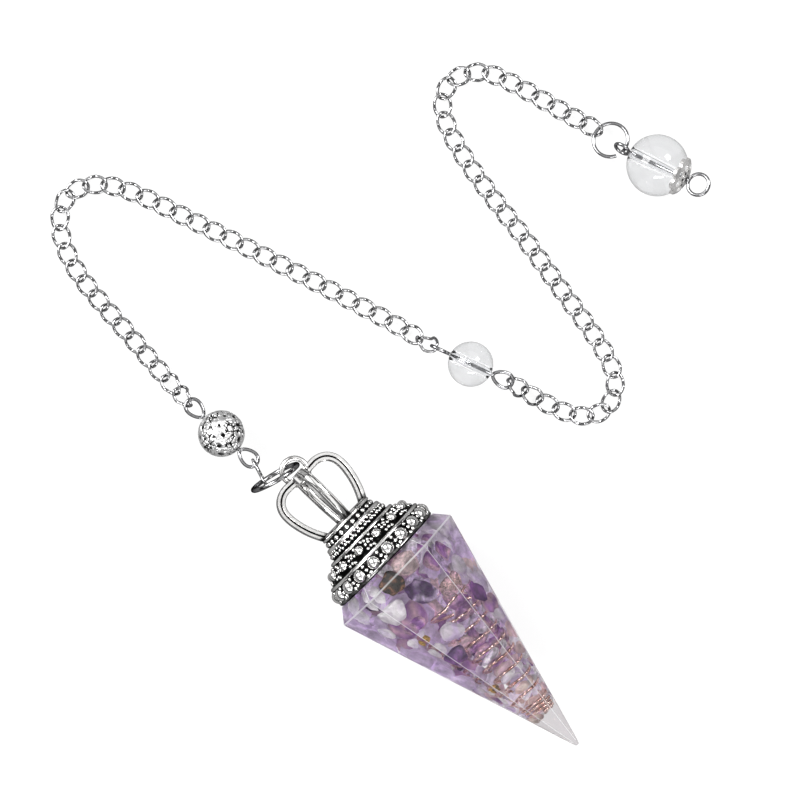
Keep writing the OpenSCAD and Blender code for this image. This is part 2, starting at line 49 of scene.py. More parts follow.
# camera straight above the middle of the photograph
CAMERA_UP = 0.4
cam_data = bpy.data.cameras.new("camera")
cam_data.sensor_width = 36
cam_data.lens = 139.4
cam_data.clip_start, cam_data.clip_end = 0.01, 5
camera = bpy.data.objects.new("camera", cam_data)
camera.location = (-MIDDLE[0] * MM, -MIDDLE[1] * MM, CAMERA_UP)
bpy.context.scene.collection.objects.link(camera)
bpy.context.scene.camera = camera
bpy.context.scene.view_settings.view_transform = "Standard"


# vectors and frames, the same as in the part's source

def vec(*v):
    return np.array(v, float)


def unit(v):
    return v / np.linalg.norm(v)


def mix(a, b, t):
    return a * (1 - t) + b * t


def heading(az, el):
    a, e = math.radians(az), math.radians(el)
    return vec(math.cos(a) * math.cos(e), math.sin(a) * math.cos(e), math.sin(e))


def up_of(d, roll):
    u = unit(vec(0, 0, 1) - d[2] * d)
    s = np.cross(u, d)
    r = math.radians(roll)
    return u * math.cos(r) + s * math.sin(r)


def placed(points, o, d, roll):
    """Points with x along d and z near up, moved to o."""
    z = up_of(d, roll)
    return np.asarray(points) @ np.array([d, np.cross(z, d), z]) + o


# the resin point: width over its corners, length, width at the tip, width and height of the bevel,
# radius and height of the plug, and length of the clearer end
W, LEN, TIP_W, BEVEL_W, BEVEL_H, PLUG_R, PLUG_H, CLEAR_END = 19.5, 31.7, 0.6, 16.6, 1.75, 6.3, 1.9, 6
# the middle of its shoulder, the height of its axis, and its direction
POINT_AT, AXIS_H, TURN = vec(-0.35, -21.5), W / 2 * math.cos(math.radians(30)), math.radians(-44)


def on_point(p):
    """Points given as up, across and along the resin point's axis."""
    p = np.atleast_2d(p)
    x, y = -p[:, 2], p[:, 1]
    return np.stack([POINT_AT[0] + x * math.cos(TURN) - y * math.sin(TURN),
                     POINT_AT[1] + x * math.sin(TURN) + y * math.cos(TURN),
                     AXIS_H + p[:, 0]], 1)


# meshes

class Shape:
    """Vertices and faces of one piece, added up part by part."""

    def __init__(self):
        self.v, self.f, self.n = [], [], 0

    def add(self, v, f):
        """Add a closed part, with its faces turned outwards."""
        v = np.asarray(v, float)
        volume = 0
        for k in {len(q) for q in f}:
            q = np.array([i for i in f if len(i) == k])
            for j in range(1, k - 1):
                volume += (np.cross(v[q[:, 0]], v[q[:, j]]) * v[q[:, j + 1]]).sum()
        if volume < 0:
            f = [q[::-1] for q in f]
        self.v.append(v)
        self.f += [tuple(i + self.n for i in q) for q in f]
        self.n += len(v)
        return self


def piece(name, shape, mat, nodes, sharp, tints=None):
    """One object, with edges over the sharp angle left sharp, in place of some nodes."""
    mesh = bpy.data.meshes.new(name)
    v = (np.vstack(shape.v) - MIDDLE) * MM
    mesh.from_pydata(v.tolist(), [], shape.f)
    mesh.polygons.foreach_set("use_smooth", [True] * len(mesh.polygons))
    if sharp:
        mesh.set_sharp_from_angle(angle=math.radians(sharp))
    if tints is not None:
        layer = mesh.color_attributes.new("tint", "FLOAT_COLOR", "POINT")
        layer.data.foreach_set("color", np.asarray(tints, np.float32).ravel())
    mesh.materials.append(mat)
    obj = bpy.data.objects.new(name, mesh)
    bpy.context.scene.collection.objects.link(obj)
    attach(obj, "root")
    if nodes:
        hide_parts(*nodes)
    return obj


def circle(r, k):
    return [(r * math.cos(2 * math.pi * j / k), r * math.sin(2 * math.pi * j / k)) for j in range(k)]


def tube(path, section, closed=False, ref=None):
    """A section of (across, up) points swept along a path, carried along without twisting."""
    c = np.asarray(path, float)
    n, k = len(c), len(section)
    if closed:
        t = np.roll(c, -1, 0) - np.roll(c, 1, 0)
    else:
        t = np.vstack([c[1] - c[0], c[2:] - c[:-2], c[-1] - c[-2]])
    t /= np.linalg.norm(t, axis=1)[:, None]
    w = np.zeros_like(c)
    if ref is not None:
        w[:] = np.asarray(ref) - (t @ np.asarray(ref))[:, None] * t
        w /= np.linalg.norm(w, axis=1)[:, None]
    else:
        a = vec(0, 0, 1) if abs(t[0, 2]) < 0.9 else vec(1, 0, 0)
        w[0] = unit(a - (a @ t[0]) * t[0])
        for i in range(1, n):
            w[i] = unit(w[i - 1] - (w[i - 1] @ t[i]) * t[i])
        if closed:
            # the twist that is left over is shared out along the ring
            e = unit(w[-1] - (w[-1] @ t[0]) * t[0])
            ang = math.atan2(np.cross(w[0], e) @ t[0], w[0] @ e)
            for i in range(n):
                q = -ang * i / n
                w[i] = w[i] * math.cos(q) + np.cross(t[i], w[i]) * math.sin(q)
    u = np.cross(w, t)
    s = np.asarray(section)
    v = (c[:, None] + s[None, :, 0, None] * u[:, None] + s[None, :, 1, None] * w[:, None]).reshape(-1, 3)
    f = []
    for i in range(n if closed else n - 1):
        i2 = (i + 1) % n
        for j in range(k):
            j2 = (j + 1) % k
            f.append((i * k + j, i2 * k + j, i2 * k + j2, i * k + j2))
    if not closed:
        f.append(tuple(range(k)))
        f.append(tuple((n - 1) * k + j for j in range(k - 1, -1, -1)))
    return v, f


def lathe(outline, steps, closed=True):
    """An outline of (radius, height) points turned about the z axis."""
    o = np.asarray(outline, float)
    k = len(o)
    a = np.arange(steps) * 2 * math.pi / steps
    v = np.stack([o[None, :, 0] * np.cos(a)[:, None], o[None, :, 0] * np.sin(a)[:, None],
                  np.broadcast_to(o[None, :, 1], (steps, k))], -1).reshape(-1, 3)
    f = []
    for i in range(steps):
        i2 = (i + 1) % steps
        for j in range(k if closed else k - 1):
            j2 = (j + 1) % k
            f.append((i * k + j, i2 * k + j, i2 * k + j2, i * k + j2))
    return v, f


balls = {}


def ball(level):
    if level not in balls:
        bm = bmesh.new()
        bmesh.ops.create_icosphere(bm, subdivisions=level, radius=1)
        balls[level] = (np.array([tuple(v.co) for v in bm.verts]),
                         [tuple(v.index for v in f.verts) for f in bm.faces])
        bm.free()
    return balls[level]


def smooth_path(points, per):
    """A Catmull-Rom curve through the points, in steps of one part in per."""
    p = np.asarray(points, float)
    n = len(p)
    out = []
    for i in range(n - 1):
        a, b, c, d = p[max(i - 1, 0)], p[i], p[i + 1], p[min(i + 2, n - 1)]
        for q in range(per):
            t = q / per
            out.append(0.5 * (2 * b + (c - a) * t + (2 * a - 5 * b + 4 * c - d) * t * t
                              + (3 * b - a - 3 * c + d) * t ** 3))
    out.append(p[-1])
    return np.array(out)


def spun(x, y, q):
    """Both coordinates after a turn by q."""
    return x * math.cos(q) - y * math.sin(q), x * math.sin(q) + y * math.cos(q)


def as_tint(t):
    """One value for each point as a grey tint."""
    return np.stack([t, t, t, np.ones(len(t))], 1)


# materials

def material(name):
    """A new material, its nodes, its links and its shader."""
    m = bpy.data.materials.new(name)
    m.use_nodes = True
    n = m.node_tree.nodes
    bsdf = n["Principled BSDF"]
    return m, n, m.node_tree.links, bsdf


def noise(n, scale, detail=3, rough=0.5):
    t = n.new("ShaderNodeTexNoise")
    t.inputs["Scale"].default_value = scale
    t.inputs["Detail"].default_value = detail
    t.inputs["Roughness"].default_value = rough
    return t


def coords(n, l, *textures):
    c = n.new("ShaderNodeTexCoord")
    for t in textures:
        l.new(c.outputs["Object"], t.inputs["Vector"])


def ramp(n, l, source, stops):
    r = n.new("ShaderNodeValToRGB")
    e = r.color_ramp.elements
    while len(e) < len(stops):
        e.new(0.5)
    for q, (at, color) in zip(e, stops):
        q.position = at
        q.color = (*color, 1)
    l.new(source, r.inputs[0])
    return r


def bump(n, l, source, strength, distance, bsdf):
    b = n.new("ShaderNodeBump")
    b.inputs["Strength"].default_value = strength
    b.inputs["Distance"].default_value = distance
    l.new(source, b.inputs["Height"])
    l.new(b.outputs["Normal"], bsdf.inputs["Normal"])


def maths(n, l, operation, *values):
    """The output of a calculation with sockets and numbers."""
    node = n.new("ShaderNodeMath")
    node.operation = operation
    for socket, value in zip(node.inputs, values):
        if isinstance(value, float):
            socket.default_value = value
        else:
            l.new(value, socket)
    return node.outputs[0]


# sockets of the mix node that take and give colours
FIRST_COLOR, SECOND_COLOR, MIXED_COLOR = 6, 7, 2


def multiplied(n, l, a, b):
    """The product of two colours."""
    node = n.new("ShaderNodeMix")
    node.data_type = "RGBA"
    node.blend_type = "MULTIPLY"
    node.inputs["Factor"].default_value = 1
    l.new(a, node.inputs[FIRST_COLOR])
    l.new(b, node.inputs[SECOND_COLOR])
    return node.outputs[MIXED_COLOR]


def silver(name, light, dark, reach=0.5, rough=(0.12, 0.3), grain=900, relief=0.2, raised=False,
           low=(0.35, 0.8), rim=0.35, metal=1):
    """Silver plate, dark in its recesses out to reach (mm), and by the raised value of the mesh."""
    m, n, l, s = material(name)
    s.inputs["Metallic"].default_value = metal
    s.inputs["Specular Tint"].default_value = (rim, rim, rim, 1)
    fine, wide = noise(n, grain, 4, 0.6), noise(n, grain * 0.3, 3)
    coords(n, l, fine, wide)
    ao = n.new("ShaderNodeAmbientOcclusion")
    ao.samples = 8
    ao.only_local = True
    ao.inputs["Distance"].default_value = reach * MM
    worn = maths(n, l, "MULTIPLY_ADD", wide.outputs["Fac"], 0.4, ao.outputs["AO"])
    seat = maths(n, l, "SUBTRACT", worn, 0.2)
    color = ramp(n, l, seat, [(low[0], dark), (low[1], light)]).outputs[0]
    if raised:
        at = n.new("ShaderNodeAttribute")
        at.attribute_name = "tint"
        up = maths(n, l, "MULTIPLY_ADD", fine.outputs["Fac"], 0.5, at.outputs["Fac"])
        high = ramp(n, l, up, [(0.38, dark), (0.78, (1, 1, 1))])
        color = multiplied(n, l, color, high.outputs[0])
    l.new(color, s.inputs["Base Color"])
    roughness = ramp(n, l, fine.outputs["Fac"], [(0.3, (rough[0],) * 3), (0.7, (rough[1],) * 3)])
    l.new(roughness.outputs[0], s.inputs["Roughness"])
    bump(n, l, fine.outputs["Fac"], relief, 0.00006, s)
    return m


BLACK = (0.012, 0.012, 0.012)
crown_silver = silver("antique_silver", (0.97, 0.96, 0.95), BLACK, 0.7, (0.08, 0.22), raised=True,
                      metal=0.95)
cap_silver = silver("bead_cap_silver", (0.93, 0.92, 0.91), BLACK, 0.6, (0.12, 0.3),
                    low=(0.45, 0.8), rim=0.5, metal=0.75)
bead_silver = silver("pitted_silver", (0.96, 0.96, 0.96), BLACK, 0.35, (0.2, 0.4), raised=True,
                     rim=0.8, metal=0.88)
wire_silver = silver("wire_silver", (0.38, 0.38, 0.39), (0.01, 0.01, 0.011), 0.6, (0.05, 0.12), 700, 0.06,
                     low=(0.3, 0.95), rim=0)
chain_silver = silver("chain_silver", (0.6, 0.6, 0.61), (0.03, 0.03, 0.031), 0.6, (0.08, 0.18), 800, 0.08,
                      low=(0.3, 0.95), rim=0)


def clear(name, color, rough=0.0, relief=0.0, scale=300):
    """Clear resin or glass, with a faint relief."""
    m, n, l, s = material(name)
    s.inputs["Base Color"].default_value = (*color, 1)
    s.inputs["Transmission Weight"].default_value = 1
    s.inputs["Roughness"].default_value = rough
    s.inputs["IOR"].default_value = 1.50
    if relief:
        t = noise(n, scale, 2)
        coords(n, l, t)
        bump(n, l, t.outputs["Fac"], relief, 0.00005, s)
    return m


resin = clear("clear_resin", (0.81, 0.79, 0.81), 0.0, 0.06, 160)
resin_tip = clear("resin_tip", (0.66, 0.635, 0.65), 0.0, 0.06, 160)
# frosted edges, partly opaque and near white: a painted highlight along the chamfers and the shoulder
resin_edge_highlight = clear("resin_edge_highlight", (0.95, 0.95, 0.96), 0.3)
resin_edge_highlight.node_tree.nodes["Principled BSDF"].inputs["Transmission Weight"].default_value = 0.75
glass = clear("clear_glass", (0.90, 0.905, 0.915), 0.0, 0.03, 200)

copper, n, l, s = material("copper_wire")
s.inputs["Metallic"].default_value = 1
t = noise(n, 900, 3)
coords(n, l, t)
r = ramp(n, l, t.outputs["Fac"], [(0.3, (0.40, 0.17, 0.13)), (0.55, (0.93, 0.70, 0.63))])
l.new(r.outputs[0], s.inputs["Base Color"])
s.inputs["Roughness"].default_value = 0.1
bump(n, l, t.outputs["Fac"], 0.1, 0.00004, s)


def stone(name, rough=0.35, veins=0.5, scale=420, painted_glow=0.2):
    """Stone whose tint comes with the mesh, mottled and veined, with a painted glow: it gives off a little
    light in its own colour.
    """
    m, n, l, s = material(name)
    a = n.new("ShaderNodeAttribute")
    a.attribute_name = "tint"
    fine, wide = noise(n, scale * 3.5, 5, 0.7), noise(n, scale, 4, 0.6)
    wide.inputs["Distortion"].default_value = 1.5
    coords(n, l, fine, wide)
    plain = (1, 1, 1)
    shade = ramp(n, l, wide.outputs["Fac"],
                 [(0.34, (1 - veins,) * 3), (0.5, plain), (0.68, (1.0 + veins * 0.9,) * 3)])
    speck = ramp(n, l, fine.outputs["Fac"],
                 [(0.36, (1 - veins * 0.7,) * 3), (0.52, plain), (0.66, (1.0 + veins * 0.8,) * 3)])
    color = a.outputs["Color"]
    for part in (shade, speck):
        color = multiplied(n, l, color, part.outputs[0])
    l.new(color, s.inputs["Base Color"])
    s.inputs["Roughness"].default_value = rough
    s.inputs["Subsurface Weight"].default_value = 0.3
    s.inputs["Subsurface Radius"].default_value = (0.0012, 0.0010, 0.0013)
    s.inputs["Subsurface Scale"].default_value = 1.0
    # painted glow: the stone gives off light in its own colour, though it is no lamp
    l.new(color, s.inputs["Emission Color"])
    s.inputs["Emission Strength"].default_value = painted_glow
    bump(n, l, fine.outputs["Fac"], 0.4, 0.00012, s)
    return m


purple_stone = stone("amethyst", 0.3, 0.6)
smooth_stone = stone("smooth_amethyst", 0.4, 0.38, 170)
pale_stone = stone("pale_stone", 0.4, 0.2)
brown_stone = stone("brown_stone", 0.5, 0.85, 900, 0.08)


# the resin point

PER_EDGE = 8


def hexagon(w, z, cut):
    """A hexagon with its corners cut a little, as up, across, along, in 12 edges."""
    at = [math.radians(60 * j + 30) for j in range(6)]
    p = [vec(w / 2 * math.cos(q), w / 2 * math.sin(q), z) for q in at]
    corners = []
    for j in range(6):
        for q in (j - 1, (j + 1) % 6):
            corners.append(p[j] + unit(p[q] - p[j]) * cut)
    steps = [i / PER_EDGE for i in range(PER_EDGE)]
    return [mix(corners[j], corners[(j + 1) % 12], t) for j in range(12) for t in steps]


def resin_point():
    cut = 0.07
    slope = (W - TIP_W) / LEN
    rings = [hexagon(0.35, -LEN, 0.03), hexagon(TIP_W, -LEN + 0.12, 0.05),
             hexagon(TIP_W + slope * 0.6, -LEN + 0.6, 0.06),
             hexagon(TIP_W + slope * CLEAR_END, -LEN + CLEAR_END, cut),
             hexagon(W - slope * cut * 2, -cut * 2, cut), hexagon(W - 0.04, 0, cut),
             hexagon(W - 0.2, cut * 1.2, cut), hexagon(BEVEL_W + 0.2, BEVEL_H - 0.12, cut),
             hexagon(BEVEL_W, BEVEL_H, cut)]
    turn = [math.atan2(q[1], q[0]) for q in rings[-1]]
    for r, z in ((PLUG_R, BEVEL_H), (PLUG_R, BEVEL_H + PLUG_H - 0.1), (PLUG_R - 0.1, BEVEL_H + PLUG_H)):
        rings.append([vec(r * math.cos(a), r * math.sin(a), z) for a in turn])
    k = len(turn)
    v = np.vstack(rings)
    f = [tuple(range(k))]
    for i in range(len(rings) - 1):
        for j in range(k):
            j2 = (j + 1) % k
            f.append((i * k + j, (i + 1) * k + j, (i + 1) * k + j2, i * k + j2))
    top = (len(rings) - 1) * k
    f.append(tuple(top + j for j in range(k - 1, -1, -1)))
    obj = piece("resin_point_clear", Shape().add(on_point(v), f), resin, ["resin_point"], 20)
    obj.data.materials.append(resin_edge_highlight)
    obj.data.materials.append(resin_tip)
    # the chamfers and the shoulder are frosted, and their whitish, partly opaque surface is a painted
    # highlight along the edges; the end is clearer than the rest
    for i in range(8):
        for j in range(k):
            face = obj.data.polygons[1 + i * k + j]
            chamfer = i > 1 and (j // PER_EDGE) % 2 == 0
            if i in (4, 5) or chamfer:
                face.material_index = 1
            elif i < 3:
                face.material_index = 2


resin_point()

# the copper spiral

# rise of a tight and of an open turn, number of open turns, distance of the foot from the shoulder,
# width, lean and wire
TIGHT, PITCH, TURNS, FOOT, COIL_W, LEAN, COIL_WIRE = 0.5, 1.85, 9, 25.5, 5, 0.3, 0.4
# the spiral's three tight turns end here, and its open turns there
TIGHT_END = -FOOT + 3 * TIGHT
OPEN_END = TIGHT_END + TURNS * PITCH


def coil_r(u):
    return COIL_W * np.interp(u, [0, 3, 7, 12], [0.2, 0.3, 0.42, 0.46])


def coil_y(u):
    return COIL_W * np.interp(u, [0, 3, 12], [0.01, 0.03, 0.14])


def coil_point(u):
    z = -FOOT + TIGHT * min(u, 3) + PITCH * max(u - 3, 0)
    a = 2 * math.pi * u
    across = coil_r(u) * math.sin(a)
    return vec(coil_r(u) * math.cos(a), coil_y(u) + across, z - LEAN * across)


coil = [coil_point(i / 36) for i in range(36 * (3 + TURNS) + 1)]
e = coil[-1]
tail = [e, e + COIL_W * vec(0.02, 0.24, 0.04), e + COIL_W * vec(-0.1, 0.48, 0.06)]
coil += list(smooth_path(tail, 8)[1:])
v, f = tube(coil, circle(COIL_WIRE / 2, 12))
piece("copper_coil_wire", Shape().add(on_point(v), f), copper, ["copper_coil"], 0)

# stone chips: up, across, along, width, length, thickness, turn, seed

AMETHYST = [
    [4.0, 0.5, -3.4, 3.4, 4.6, 2.2, 20, 1], [3.2, -2.2, -12.4, 2.4, 2.8, 1.6, 60, 2],
    [5.4, -3.6, 1.0, 1.4, 1.6, 1.0, 10, 3], [3.6, -2.9, -6.0, 1.8, 2.4, 1.6, 75, 4],
    [0.2, 1.0, -17.4, 1.6, 2.0, 1.4, 30, 5], [2.0, 4.4, -2.0, 3.0, 3.4, 2.6, 50, 6],
    [-3.6, -1.5, -6.5, 3.4, 3.8, 2.2, 35, 7], [-3.8, 3.0, -3.0, 3.2, 3.6, 2.4, 80, 8]]
PALE = [
    [4.6, -3.6, -2.9, 3.0, 3.4, 1.8, 40, 11], [4.4, -3.7, -0.3, 1.6, 2.2, 1.2, 15, 12],
    [1.9, -5.9, -4.2, 2.0, 2.8, 1.6, 30, 13], [2.6, -4.4, -7.6, 1.6, 3.0, 1.4, 100, 14],
    [3.6, -0.6, -9.9, 2.6, 3.4, 1.4, 65, 15], [2.6, -3.2, -10.2, 1.4, 2.2, 1.2, 20, 16],
    [0.4, -5.6, -0.4, 2.6, 3.4, 2.2, 70, 17], [-3.4, -4.2, -2.6, 3.0, 3.4, 2.2, 15, 18]]
BROWN = [
    [6.35, -1.45, -0.5, 3.0, 3.2, 1.5, 40, 21], [3.6, -3.5, -8.3, 1.0, 1.2, 0.9, 10, 22],
    [3.7, 3.2, -5.7, 2.6, 2.8, 1.8, 140, 23], [1.5, -1.9, -19.0, 0.9, 1.3, 0.7, 20, 24],
    [-0.2, -0.1, -20.2, 1.3, 1.6, 1.1, 45, 25]]


def lump(c, level=4):
    """A tumbled chip: a ball cut by soft planes."""
    up, across, along, w, length, t, turn, seed = c
    rng = np.random.default_rng(int(seed) + 100)
    v, f = ball(level)
    v = v.copy()
    r = np.ones(len(v))
    for _ in range(9):
        d = unit(rng.normal(size=3))
        h = rng.uniform(0.62, 0.9)
        x = v @ d
        with np.errstate(divide="ignore"):
            r = np.minimum(r, np.where(x > 0, h / np.maximum(x, 1e-6), 9))
    v = v * r[:, None]
    for _ in range(5):
        d = rng.normal(size=3) * 3
        v = v * (1 + 0.03 * np.sin(v @ d + rng.uniform(0, 6)))[:, None]
    v = v / np.abs(v).max(0) * np.array([t, w, length]) / 2 * 0.97
    a = math.radians(turn)
    y, z = spun(v[:, 1], v[:, 2], a)
    return np.stack([v[:, 0] + up, y + across, z + along], 1), f


def banded(v, seed, one, other, share=0.5, often=1):
    """Tints that swirl between two colours over a chip."""
    rng = np.random.default_rng(int(seed) + 7)
    q = (v - v.mean(0)) @ np.linalg.qr(rng.normal(size=(3, 3)))[0] * often
    wave = np.sin(2.1 * q[:, 0] + 1.4 * np.sin(1.9 * q[:, 1] + 1) + 1.1 * np.sin(2.3 * q[:, 2]) + seed)
    t = np.clip((wave * 0.5 + share) * 1.3 - 0.15, 0, 1)[:, None]
    col = mix(np.array(one), np.array(other), t) * rng.uniform(0.92, 1.08)
    return np.hstack([np.clip(col, 0.005, 1), np.ones((len(v), 1))])


def chips(name, places, tints, mat, node):
    shape, colors = Shape(), []
    for c, pair in zip(places, tints):
        v, f = lump(c)
        shape.add(on_point(v), f)
        colors.append(banded(v, c[7], *pair))
    piece(name, shape, mat, [node], 50, np.vstack(colors))


DEEP, PURPLE, LILAC, MAUVE = (0.06, 0.015, 0.10), (0.22, 0.08, 0.28), (0.54, 0.43, 0.62), (0.52, 0.34, 0.41)
WHITE, GREY, PALE_LILAC = (0.84, 0.82, 0.84), (0.62, 0.57, 0.63), (0.74, 0.68, 0.80)
DARK, BROWN_TINT, GOLD = (0.02, 0.014, 0.01), (0.30, 0.14, 0.07), (0.50, 0.30, 0.06)
BLUSH, BEIGE = (0.50, 0.34, 0.33), (0.70, 0.60, 0.54)
# two colours for each chip, the second one's share, and how close its swirls are
AMETHYST_TINTS = [
    (DEEP, LILAC, 0.35, 1.15), (DEEP, PURPLE, 0.3), (LILAC, PALE_LILAC), (PURPLE, MAUVE, 0.3),
    (PURPLE, LILAC), (PURPLE, MAUVE, 0.6), (MAUVE, LILAC), (LILAC, PALE_LILAC)]
PALE_TINTS = [
    (WHITE, GREY, 0.35, 1.5), (WHITE, GREY), (PALE_LILAC, WHITE), (WHITE, PALE_LILAC),
    (GREY, LILAC, 0.35), (GREY, WHITE), (PALE_LILAC, WHITE), (LILAC, PALE_LILAC)]
BROWN_TINTS = [
    (DARK, BROWN_TINT, 0.28, 2.2), (GOLD, BROWN_TINT, 0.3), (BLUSH, MAUVE), (BROWN_TINT, GOLD),
    (BEIGE, BLUSH)]
chips("amethyst_stones", AMETHYST, AMETHYST_TINTS, purple_stone, "amethyst_chips")
chips("pale_stones", PALE, PALE_TINTS, pale_stone, "pale_chips")
chips("brown_stones", BROWN, BROWN_TINTS, brown_stone, "brown_chips")

# the small stones that fill the point behind the chosen chips


def hides(x, y, z, size):
    """Whether a stone would stand in front of a chosen chip."""
    for chip in AMETHYST + PALE + BROWN:
        up, across, down, w, length, t = chip[:6]
        near = abs(y - across) < 0.36 * (w + size) and abs(z - down) < 0.36 * (length + size)
        if up > 0 and near and x + 0.4 * size > up - 0.3 * t:
            return True
    return False


def flats_at(z):
    """Distance from the axis to the point's flats at a place along it."""
    half = (TIP_W + (W - TIP_W) * (LEN + np.minimum(z, 0)) / LEN) / 2
    return (half - 0.82 * np.maximum(z, 0)) * math.cos(math.radians(30))


def pressed(v, room=0.16):
    """Stones that lean on the point's flats are flat there."""
    for _ in range(2):
        for k in range(0, 360, 60):
            d = vec(math.cos(math.radians(k)), math.sin(math.radians(k)), 0)
            over = np.maximum(v @ d - flats_at(v[:, 2]) + room, 0)
            v = v - over[:, None] * d
    return v


# pairs of colours, and how often each pair comes up in the parts of the point
KINDS = [((0.66, 0.55, 0.74), (0.56, 0.44, 0.65)), (LILAC, GREY), ((0.62, 0.44, 0.51), (0.64, 0.50, 0.49)),
         ((0.27, 0.12, 0.33), MAUVE), (WHITE, PALE_LILAC), (PURPLE, DEEP), (BEIGE, BLUSH)]
SHARES = {"left": [0.64, 0.12, 0, 0.1, 0.14, 0, 0], "middle": [0.12, 0.20, 0.26, 0.22, 0.10, 0.10, 0],
          "right": [0.26, 0.38, 0.14, 0.10, 0.08, 0.04, 0], "tip": [0.2, 0.2, 0.1, 0.05, 0.25, 0, 0.2],
          "foot": [0.1, 0.14, 0.06, 0, 0.4, 0, 0.3]}
# across the axis, where the left part ends and the right part begins
LEFT_OF, RIGHT_OF = -2.4, 3.2
FILL_STONES, FOOT_STONES, CORE_STONES = 330, 70, 11


def has_room(x, y, z, size):
    """Whether a stone is inside the point, and in front of neither a chosen chip nor the spiral."""
    wall = max(x * math.cos(math.radians(k)) + y * math.sin(math.radians(k)) for k in range(0, 360, 60))
    if wall > float(flats_at(z)) - size * 0.16 or hides(x, y, z, size):
        return False
    u = np.interp(z, [-FOOT, TIGHT_END, OPEN_END], [0, 3, 3 + TURNS])
    beside = abs(y - coil_y(u)) < coil_r(u) + 0.45 * size + 0.2
    before = x + 0.42 * size > coil_r(u) * 0.35
    return not (z < OPEN_END + 1.5 and beside and before)


def fill():
    """The stones, first all over the point, then near its foot, then inside the spiral."""
    rng = np.random.default_rng(12)
    sets = {"mottled": (Shape(), []), "smooth": (Shape(), [])}

    def add(c, where):
        v, f = lump(c, 2)
        shape, colors = sets["mottled" if where == "middle" else "smooth"]
        v = pressed(v)
        shape.add(on_point(v), f)
        colors.append(banded(v, c[7], *KINDS[rng.choice(len(KINDS), p=SHARES[where])]))

    made = 0
    while made < FILL_STONES:
        z = -21.5 * (1 - math.sqrt(rng.uniform(0, 1))) + 0.9
        flat = float(flats_at(z))
        a, r = rng.uniform(0, 2 * math.pi), flat * 1.12 * math.sqrt(rng.uniform(0.1, 1))
        x, y = r * math.cos(a), r * math.sin(a)
        larger = 1.5 if y < LEFT_OF else 1.25 if z > -1.5 or y > RIGHT_OF else 1
        size = rng.uniform(2.2, 4.0) * larger * min(1, 0.3 + flat / 9)
        if not has_room(x, y, z, size):
            continue
        w, t = size * rng.uniform(0.75, 1), size * rng.uniform(0.6, 0.85)
        where = "tip" if z < -16.5 else "left" if y < LEFT_OF else "right" if y > RIGHT_OF else "middle"
        add([x, y, z, w, size, t, rng.uniform(0, 180), 500 + made], where)
        made += 1
    made = 0
    while made < FOOT_STONES:
        z, a = rng.uniform(-25.4, -18.5), rng.uniform(0, 2 * math.pi)
        r = float(flats_at(z)) * math.sqrt(rng.uniform(0.1, 1))
        x, y, size = r * math.cos(a), r * math.sin(a), rng.uniform(0.9, 1.6)
        if has_room(x, y, z, size):
            where = "foot" if z < -21 else "tip"
            add([x, y, z, size * 0.9, size * 1.3, size * 0.8, rng.uniform(0, 180), 1000 + made], where)
            made += 1
    for i in range(CORE_STONES):
        u = 2.6 + i * 0.62
        w = 2 * coil_r(u) - 0.9
        z = TIGHT_END + PITCH * (u - 3)
        where = "foot" if z < -21 else "tip" if z < -17 else "middle"
        add([0, coil_y(u) + rng.uniform(-0.2, 0.2), z, w, 1.5, w, rng.uniform(-20, 20), 900 + i], where)
    for kind, mat in (("mottled", purple_stone), ("smooth", smooth_stone)):
        shape, colors = sets[kind]
        piece("stone_fill_" + kind, shape, mat, [], 60, np.vstack(colors))


fill()

# the crown cap

# the cap's base and height, and the width, height and thickness of its arches
CAP_BASE, CAP_H, ARCH_W, ARCH_H, ARCH_T = BEVEL_H + 0.05, 7.7, 10.9, 15.7, 1.15
# the large balls and the middle ones, and how many stand in each row
RIM, MID, RIM_BALLS, MID_BALLS, SMALL = 1.84, 1.3, 19, 13, 24
# where the first ball of a row stands, in degrees
RIM_START, MID_START = 181.5, 182
# heights of the ridges, and the cap's radius at each (R) and just above it (S)
LOW, MIDDLE_RIDGE, HIGH, TOP = CAP_H * 0.295, CAP_H * 0.58, CAP_H * 0.77, CAP_H * 0.945
CAP_R = AXIS_H - 0.014
SKIRT_R = CAP_R - 0.45
SEAT = CAP_R - RIM / 2
R_MID, S_MID, R_HIGH = CAP_R * 0.617, CAP_R * 0.5635, CAP_R * 0.51
S_HIGH, R_TOP = CAP_R * 0.4686, CAP_R * 0.445
CAVITY = 6.4
EYE_W, EYE_WIRE = 3.9, 0.68
EYE_Z = CAP_BASE + ARCH_H + EYE_W / 2 - 1.4


def torus(r, wire, steps, k):
    turn = [2 * math.pi * i / steps for i in range(steps)]
    return tube([(r * math.cos(q), r * math.sin(q), 0) for q in turn], circle(wire, k), True, (0, 0, 1))


# the cap's outside without its ornament, as radius and height
GROUND = [(SKIRT_R, 0), (SEAT, LOW), (SEAT - 0.25, LOW + 0.2), (R_MID, MIDDLE_RIDGE),
          (S_MID, MIDDLE_RIDGE + 0.3), (R_HIGH, HIGH), (S_HIGH, HIGH + 0.3), (R_TOP, TOP), (R_TOP, CAP_H)]


def raised(v, depth=0.3):
    """How far points of the cap stand out from its ground, as 0 to 1."""
    r, z = np.hypot(v[:, 0], v[:, 1]), v[:, 2] - CAP_BASE
    g = np.interp(z, [q[1] for q in GROUND], [q[0] for q in GROUND])
    out = (r - g) * 0.8
    return np.clip(np.where(z > CAP_H + 0.05, depth, out) / depth, 0, 1)


